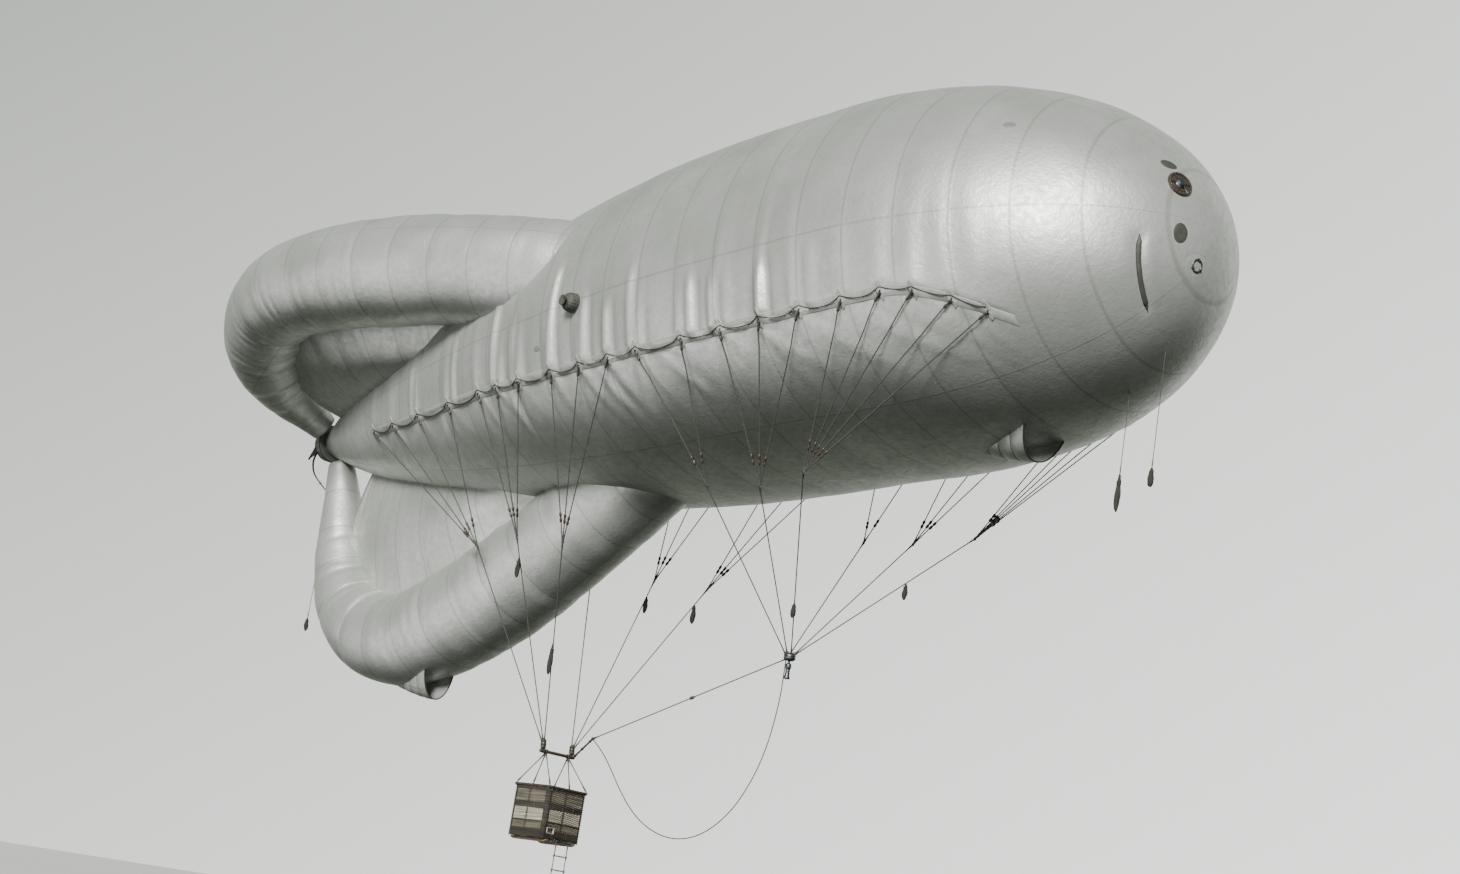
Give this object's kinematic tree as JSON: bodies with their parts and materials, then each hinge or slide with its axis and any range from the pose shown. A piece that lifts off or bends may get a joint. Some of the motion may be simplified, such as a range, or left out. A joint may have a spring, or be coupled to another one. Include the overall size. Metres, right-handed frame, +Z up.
{
  "type": "kite balloon",
  "caption": "Moored kite balloon: finned gas envelope with three air-filled tail lobes, suspension bands, a hanging wicker basket, rope ladder and mooring swivel.",
  "frame": {"origin": "on the envelope's axis at its widest station, where the air holds the balloon up", "axes": "+X towards the nose with the envelope's axis 7 degrees nose up, +Y to port, +Z up"},
  "size_m": [25.5486, 9.9858, 17.1311],
  "materials": {
    "silvered_fabric": "aluminium-doped rubberised cotton",
    "fabric_tape": "doped cotton tape",
    "rope": "tarred hemp",
    "cord": "braided rubber-covered cable",
    "ash_wood": "oiled ash",
    "wicker": "woven willow",
    "leather": "stitched hide",
    "steel": "dark painted forging"
  },
  "bodies": {
    "balloon": {"envelope": "silvered_fabric", "starboard_lobe_roll": "silvered_fabric", "starboard_lobe_pad": "silvered_fabric", "port_lobe_roll": "silvered_fabric", "port_lobe_pad": "silvered_fabric", "rudder_lobe_roll": "silvered_fabric", "rudder_lobe_pad": "silvered_fabric", "belly_scoop": "silvered_fabric", "rudder_scoop": "silvered_fabric", "inflation_sleeve": "fabric_tape", "tail_cap": "fabric_tape", "suspension_band_starboard": "fabric_tape", "suspension_band_port": "fabric_tape", "basket_stay_aft_starboard": "rope", "basket_stay_mid_starboard": "rope", "basket_stay_fore_starboard": "rope", "mooring_stay_aft_starboard": "rope", "mooring_stay_mid_starboard": "rope", "mooring_stay_fore_starboard": "rope", "basket_stay_aft_port": "rope", "basket_stay_mid_port": "rope", "basket_stay_fore_port": "rope", "mooring_stay_aft_port": "rope", "mooring_stay_mid_port": "rope", "mooring_stay_fore_port": "rope", "link_rope": "rope", "gas_valve": "ash_wood", "stay_block_starboard": "ash_wood", "stay_block_port": "ash_wood", "trapeze_bar": "ash_wood", "nose_line_ring": "steel", "mooring_plate": "steel", "telephone_cord": "cord"},
    "basket": {"basket_walls": "wicker", "basket_floor": "ash_wood", "basket_rim": "leather", "basket_skid_starboard": "ash_wood", "basket_skid_port": "ash_wood", "basket_sling_starboard": "rope", "basket_sling_port": "rope", "ladder_pin": "steel"},
    "ladder": {"rope_ladder": "rope"},
    "swivel": {"mooring_swivel": "steel", "cable_socket": "steel"}
  },
  "joints": [
    {"name": "basket_swing", "type": "hinge", "parent": "balloon", "child": "basket", "pos_m": [-5.44012, 0, -9.03034], "axis": [0, 1, 0], "range_deg": [-20, 20]},
    {"name": "ladder_swing", "type": "hinge", "parent": "basket", "child": "ladder", "pos_m": [-4.82812, 0, -10.85634], "axis": [0, 1, 0], "range_deg": [-30, 30]},
    {"name": "mooring_swivel_turn", "type": "hinge", "parent": "balloon", "child": "swivel", "pos_m": [0.72947, 0, -6.9], "axis": [0, 0, 1], "continuous": true}
  ]
}
